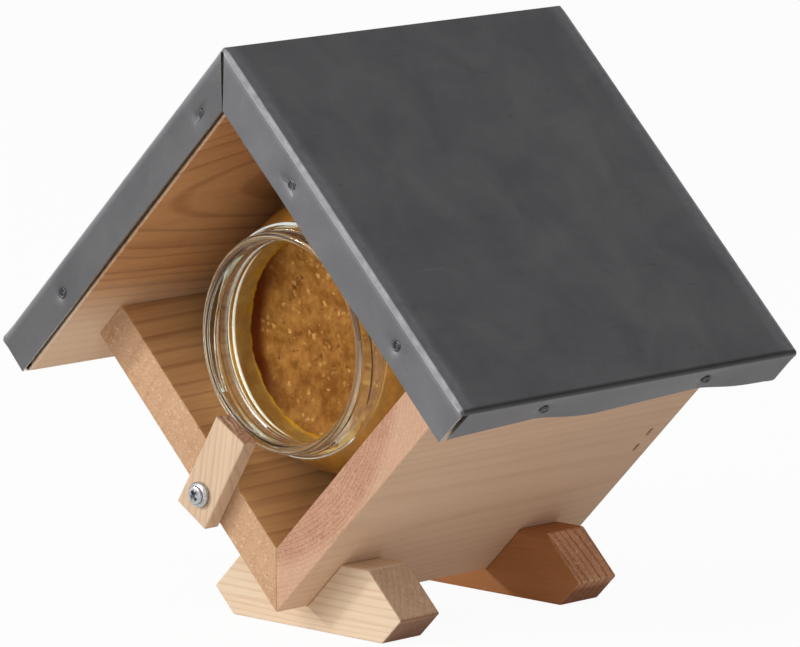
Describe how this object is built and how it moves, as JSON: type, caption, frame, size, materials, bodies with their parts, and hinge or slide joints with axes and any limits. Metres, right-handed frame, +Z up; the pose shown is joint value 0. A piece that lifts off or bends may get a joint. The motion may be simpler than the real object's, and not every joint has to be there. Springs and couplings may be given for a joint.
{
  "type": "peanut butter bird feeder",
  "caption": "Wooden bird feeder house on two feet with a folded metal roof, holding an open glass jar of peanut butter on its side behind a wooden turn button.",
  "frame": {"origin": "on the floor, under the middle of the roof", "axes": "+X to the right seen from the front, +Y to the back, +Z up; the jar's mouth faces -Y"},
  "size_m": [0.1768, 0.1328, 0.1624],
  "materials": {
    "roof_metal": "satin dark grey sheet metal",
    "roof_wood": "planed softwood, bare",
    "wall_wood": "planed softwood, bare, sawn ends",
    "foot_wood": "planed softwood, bare, sawn ends",
    "button_wood": "planed softwood, bare, sawn ends",
    "zinc_plated_steel": "bright zinc plated",
    "glass": "clear, faintly green",
    "peanut_butter": "coarse, oily"
  },
  "bodies": {
    "house": {"roof_sheet": "roof_metal", "left_roof_board": "roof_wood", "right_roof_board": "roof_wood", "left_wall": "wall_wood", "right_wall": "wall_wood", "back_panel": "wall_wood", "front_foot": "foot_wood", "rear_foot": "foot_wood", "turn_button_screw": "zinc_plated_steel", "front_left_nails": "zinc_plated_steel", "front_right_nails": "zinc_plated_steel", "rear_left_nails": "zinc_plated_steel", "rear_right_nails": "zinc_plated_steel", "left_eave_nails": "zinc_plated_steel", "right_eave_nails": "zinc_plated_steel", "ridge_brads": "zinc_plated_steel", "left_roof_brads": "zinc_plated_steel", "right_roof_brads": "zinc_plated_steel", "roof_back_brads": "zinc_plated_steel", "left_back_brads": "zinc_plated_steel", "right_back_brads": "zinc_plated_steel", "v_joint_brads": "zinc_plated_steel", "front_foot_screws": "zinc_plated_steel", "rear_foot_screws": "zinc_plated_steel"},
    "button": {"turn_button": "button_wood"},
    "filled_jar": {"jar": "glass", "peanut_butter": "peanut_butter"}
  },
  "joints": [
    {"name": "button_turn", "type": "hinge", "parent": "house", "child": "button", "pos_m": [-0.02362, -0.0497, 0.03656], "axis": [0, -1, 0], "continuous": true},
    {"name": "jar_slide", "type": "slide", "parent": "house", "child": "filled_jar", "axis": [0, -1, 0], "range_m": [0, 0.0018]}
  ]
}
